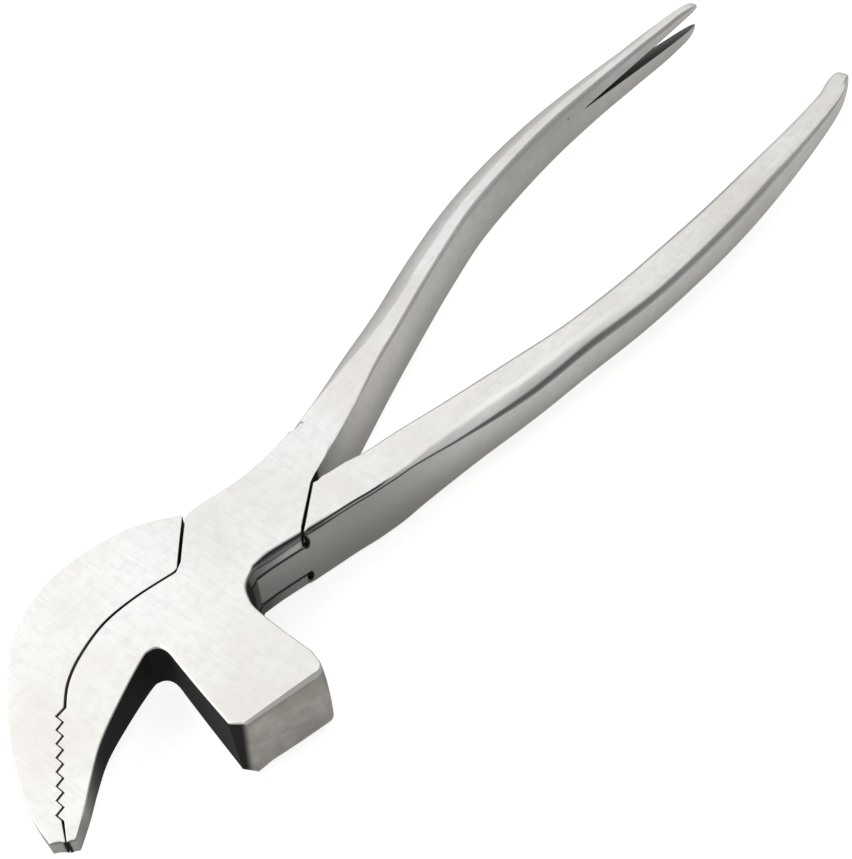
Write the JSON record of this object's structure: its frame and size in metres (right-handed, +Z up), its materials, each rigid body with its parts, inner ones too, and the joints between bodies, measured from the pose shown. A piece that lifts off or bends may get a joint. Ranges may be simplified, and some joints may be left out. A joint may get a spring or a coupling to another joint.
{
  "type": "lasting pliers",
  "caption": "Shoemaker's lasting pliers with a box joint, curved toothed jaws, a side hammer and a handle that ends in a forked tack lifter.",
  "frame": {"origin": "on the rivet's axis, in the plane of the head's lower face, on which the pliers rest", "axes": "+Z up along the rivet's axis, +X from the rivet towards the handle ends midway between the closed handles, the hammer points to -Y and the jaws to -X"},
  "size_m": [0.2085, 0.0531, 0.0132],
  "materials": {
    "hammer_half_steel": "satin ground",
    "jaw_half_steel": "satin ground",
    "rivet_steel": "satin ground"
  },
  "bodies": {
    "hammer_half": {"hammer_half": "hammer_half_steel", "pivot_rivet": "rivet_steel"},
    "jaw_half": {"jaw_half": "jaw_half_steel"}
  },
  "joints": [
    {"name": "pivot", "type": "hinge", "parent": "hammer_half", "child": "jaw_half", "pos_m": [0, 0, 0.0066], "axis": [0, 0, -1], "range_deg": [0, 30]}
  ]
}
